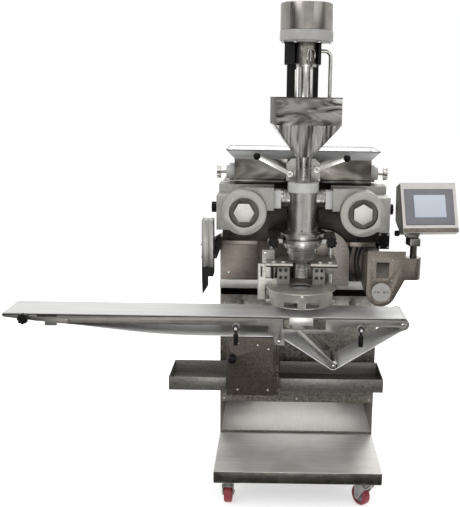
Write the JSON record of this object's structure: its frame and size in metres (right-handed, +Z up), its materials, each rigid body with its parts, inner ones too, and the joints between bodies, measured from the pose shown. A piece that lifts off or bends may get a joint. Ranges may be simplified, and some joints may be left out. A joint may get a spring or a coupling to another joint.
{
  "type": "cookie depositor",
  "caption": "Floor-standing filled-cookie former on casters: dough pumps and hopper, centre nozzle with funnel and motor, iris shutter, belt conveyor, flour duster and touch panel.",
  "frame": {"origin": "on the floor straight below the nozzle axis", "axes": "+X along the belt to the right as seen from the front, +Y to the back, +Z up"},
  "size_m": [1.5385, 0.9695, 1.765],
  "materials": {
    "brushed_stainless": "brushed",
    "polished_stainless": "polished",
    "cast_aluminium": "cast, bead blasted",
    "white_plastic": "machined",
    "white_belting": "matt",
    "black_plastic": "moulded",
    "black_metal": "satin",
    "cable_rubber": "matt",
    "zinc_steel": "zinc plated",
    "red_tyre": "moulded",
    "panel_paint": "powder coated",
    "screen_plastic": "semi-gloss"
  },
  "bodies": {
    "frame": {"base_platform": "brushed_stainless", "cabinet": "brushed_stainless", "upper_housing": "brushed_stainless", "shutter_gearcase": "brushed_stainless", "gear_box": "brushed_stainless", "support_bars": "brushed_stainless", "conveyor_frame": "brushed_stainless", "barrel_brackets": "brushed_stainless", "duster_box": "brushed_stainless", "dough_hopper": "polished_stainless", "funnel_hopper": "polished_stainless", "motor_cover": "polished_stainless", "bent_pipe": "polished_stainless", "nozzle": "polished_stainless", "center_barrel": "cast_aluminium", "pump_housings": "cast_aluminium", "pump_covers": "cast_aluminium", "accessory_post": "cast_aluminium", "plastic_seals": "white_plastic", "motor_ring": "white_plastic", "conveyor_belt": "white_belting", "star_knobs": "black_plastic", "post_bracket": "black_metal", "filler_column": "black_metal", "drive_units": "black_metal", "cable_loom": "cable_rubber", "caster_mounts": "zinc_steel"},
    "front_left_fork": {"front_left_fork": "zinc_steel"},
    "front_right_fork": {"front_right_fork": "zinc_steel"},
    "front_left_wheel": {"front_left_wheel": "red_tyre"},
    "front_right_wheel": {"front_right_wheel": "red_tyre"},
    "rear_wheels": {"rear_wheels": "red_tyre"},
    "rear_door": {"rear_door": "brushed_stainless"},
    "gear_door": {"gear_door": "brushed_stainless"},
    "left_tray": {"left_tray": "brushed_stainless"},
    "right_tray": {"right_tray": "brushed_stainless"},
    "tail_roller": {"tail_roller": "polished_stainless"},
    "drive_roller": {"drive_roller": "polished_stainless"},
    "takeup_roller": {"takeup_roller": "polished_stainless"},
    "left_lock_lever": {"left_lock_lever": "black_plastic"},
    "right_lock_lever": {"right_lock_lever": "black_plastic"},
    "lifter": {"lifter": "cast_aluminium"},
    "left_rotor": {"left_rotor": "polished_stainless"},
    "right_rotor": {"right_rotor": "polished_stainless"},
    "left_agitator": {"left_agitator": "polished_stainless"},
    "right_agitator": {"right_agitator": "polished_stainless"},
    "left_clamp_lever": {"left_clamp_lever": "black_plastic"},
    "right_clamp_lever": {"right_clamp_lever": "black_plastic"},
    "filler_auger": {"filler_auger": "polished_stainless"},
    "shutter_carriage": {"shutter_carriage": "brushed_stainless"},
    "shutter_blade_1": {"shutter_blade_1": "white_plastic"},
    "shutter_blade_2": {"shutter_blade_2": "white_plastic"},
    "shutter_blade_3": {"shutter_blade_3": "white_plastic"},
    "shutter_blade_4": {"shutter_blade_4": "white_plastic"},
    "shutter_blade_5": {"shutter_blade_5": "white_plastic"},
    "shutter_blade_6": {"shutter_blade_6": "white_plastic"},
    "duster_roller": {"duster_roller": "white_plastic"},
    "panel_post": {"panel_post": "polished_stainless"},
    "panel": {"panel_housing": "panel_paint", "touch_screen": "screen_plastic"}
  },
  "joints": [
    {"name": "front_left_swivel", "type": "hinge", "parent": "frame", "child": "front_left_fork", "pos_m": [-0.252, -0.025, 0], "axis": [0, 0, 1], "continuous": true},
    {"name": "front_right_swivel", "type": "hinge", "parent": "frame", "child": "front_right_fork", "pos_m": [0.252, -0.025, 0], "axis": [0, 0, 1], "continuous": true},
    {"name": "front_left_roll", "type": "hinge", "parent": "front_left_fork", "child": "front_left_wheel", "pos_m": [-0.252, 0.003, 0.0375], "axis": [1, 0, 0], "continuous": true},
    {"name": "front_right_roll", "type": "hinge", "parent": "front_right_fork", "child": "front_right_wheel", "pos_m": [0.23594, -0.00206, 0.0375], "axis": [0.8192, 0.5736, 0], "continuous": true},
    {"name": "rear_roll", "type": "hinge", "parent": "frame", "child": "rear_wheels", "pos_m": [0, 0.715, 0.0375], "axis": [1, 0, 0], "continuous": true},
    {"name": "rear_door_swing", "type": "hinge", "parent": "frame", "child": "rear_door", "pos_m": [0.288, 0.815, 0.55], "axis": [0, 0, -1], "range_deg": [0, 110]},
    {"name": "gear_door_swing", "type": "hinge", "parent": "frame", "child": "gear_door", "pos_m": [-0.078, 0.035, 0.51], "axis": [0, 0, 1], "range_deg": [0, 105]},
    {"name": "left_tray_slide", "type": "slide", "parent": "frame", "child": "left_tray", "axis": [-1, 0, 0], "range_m": [0, 0.15]},
    {"name": "right_tray_slide", "type": "slide", "parent": "frame", "child": "right_tray", "axis": [1, 0, 0], "range_m": [0, 0.2]},
    {"name": "tail_roll", "type": "hinge", "parent": "frame", "child": "tail_roller", "pos_m": [0.348, 0, 0.7127], "axis": [0, 1, 0], "continuous": true},
    {"name": "drive_roll", "type": "hinge", "parent": "frame", "child": "drive_roller", "pos_m": [-0.075, 0, 0.645], "axis": [0, 1, 0], "continuous": true},
    {"name": "takeup_roll", "type": "hinge", "parent": "frame", "child": "takeup_roller", "pos_m": [0.114, 0, 0.562], "axis": [0, 1, 0], "continuous": true},
    {"name": "left_lock_turn", "type": "hinge", "parent": "frame", "child": "left_lock_lever", "pos_m": [-0.222, -0.095, 0.697], "axis": [0, 1, 0], "range_deg": [0, 90]},
    {"name": "right_lock_turn", "type": "hinge", "parent": "frame", "child": "right_lock_lever", "pos_m": [0.204, -0.095, 0.697], "axis": [0, -1, 0], "range_deg": [0, 90]},
    {"name": "lifter_slide", "type": "slide", "parent": "frame", "child": "lifter", "axis": [0, 0, 1], "range_m": [-0.012, 0]},
    {"name": "shutter_lift", "type": "slide", "parent": "frame", "child": "shutter_carriage", "axis": [0, 0, 1], "range_m": [-0.006, 0.008]},
    {"name": "blade_1_slide", "type": "slide", "parent": "shutter_carriage", "child": "shutter_blade_1", "axis": [0.5, -0.866, 0], "range_m": [0, 0.032]},
    {"name": "blade_2_slide", "type": "slide", "parent": "shutter_carriage", "child": "shutter_blade_2", "axis": [1, 0, 0], "range_m": [0, 0.032]},
    {"name": "blade_3_slide", "type": "slide", "parent": "shutter_carriage", "child": "shutter_blade_3", "axis": [0.5, 0.866, 0], "range_m": [0, 0.032]},
    {"name": "blade_4_slide", "type": "slide", "parent": "shutter_carriage", "child": "shutter_blade_4", "axis": [-0.5, 0.866, 0], "range_m": [0, 0.032]},
    {"name": "blade_5_slide", "type": "slide", "parent": "shutter_carriage", "child": "shutter_blade_5", "axis": [-1, 0, 0], "range_m": [0, 0.032]},
    {"name": "blade_6_slide", "type": "slide", "parent": "shutter_carriage", "child": "shutter_blade_6", "axis": [-0.5, -0.866, 0], "range_m": [0, 0.032]},
    {"name": "left_rotor_turn", "type": "hinge", "parent": "frame", "child": "left_rotor", "pos_m": [-0.197, 0, 1.09], "axis": [0, 1, 0], "continuous": true},
    {"name": "right_rotor_turn", "type": "hinge", "parent": "frame", "child": "right_rotor", "pos_m": [0.197, 0, 1.09], "axis": [0, 1, 0], "continuous": true},
    {"name": "left_agitator_turn", "type": "hinge", "parent": "frame", "child": "left_agitator", "pos_m": [-0.2, 0.165, 1.202], "axis": [1, 0, 0], "continuous": true},
    {"name": "right_agitator_turn", "type": "hinge", "parent": "frame", "child": "right_agitator", "pos_m": [0.2, 0.165, 1.202], "axis": [1, 0, 0], "continuous": true},
    {"name": "left_clamp_turn", "type": "hinge", "parent": "frame", "child": "left_clamp_lever", "pos_m": [-0.046, 0.022, 1.211], "axis": [0, -1, 0], "range_deg": [0, 35]},
    {"name": "right_clamp_turn", "type": "hinge", "parent": "frame", "child": "right_clamp_lever", "pos_m": [0.046, 0.022, 1.227], "axis": [0, 1, 0], "range_deg": [0, 35]},
    {"name": "auger_turn", "type": "hinge", "parent": "frame", "child": "filler_auger", "pos_m": [0, 0, 1.3], "axis": [0, 0, 1], "continuous": true},
    {"name": "duster_roll", "type": "hinge", "parent": "frame", "child": "duster_roller", "pos_m": [0.268, 0, 0.825], "axis": [0, 1, 0], "continuous": true},
    {"name": "panel_swivel", "type": "hinge", "parent": "frame", "child": "panel_post", "pos_m": [0.375, -0.054, 0.9], "axis": [0, 0, 1], "range_deg": [-60, 10]},
    {"name": "panel_tilt", "type": "hinge", "parent": "panel_post", "child": "panel", "pos_m": [0.37194, -0.03221, 1.021], "axis": [0.9903, 0.1392, 0], "range_deg": [-15, 15]}
  ],
  "couplings": [
    {"joint": "drive_roll", "follows": "tail_roll", "ratio": -1.1156},
    {"joint": "takeup_roll", "follows": "tail_roll", "ratio": 1.184},
    {"joint": "blade_2_slide", "follows": "blade_1_slide", "ratio": 1},
    {"joint": "blade_3_slide", "follows": "blade_1_slide", "ratio": 1},
    {"joint": "blade_4_slide", "follows": "blade_1_slide", "ratio": 1},
    {"joint": "blade_5_slide", "follows": "blade_1_slide", "ratio": 1},
    {"joint": "blade_6_slide", "follows": "blade_1_slide", "ratio": 1},
    {"joint": "right_rotor_turn", "follows": "left_rotor_turn", "ratio": -1},
    {"joint": "right_agitator_turn", "follows": "left_agitator_turn", "ratio": 1}
  ]
}
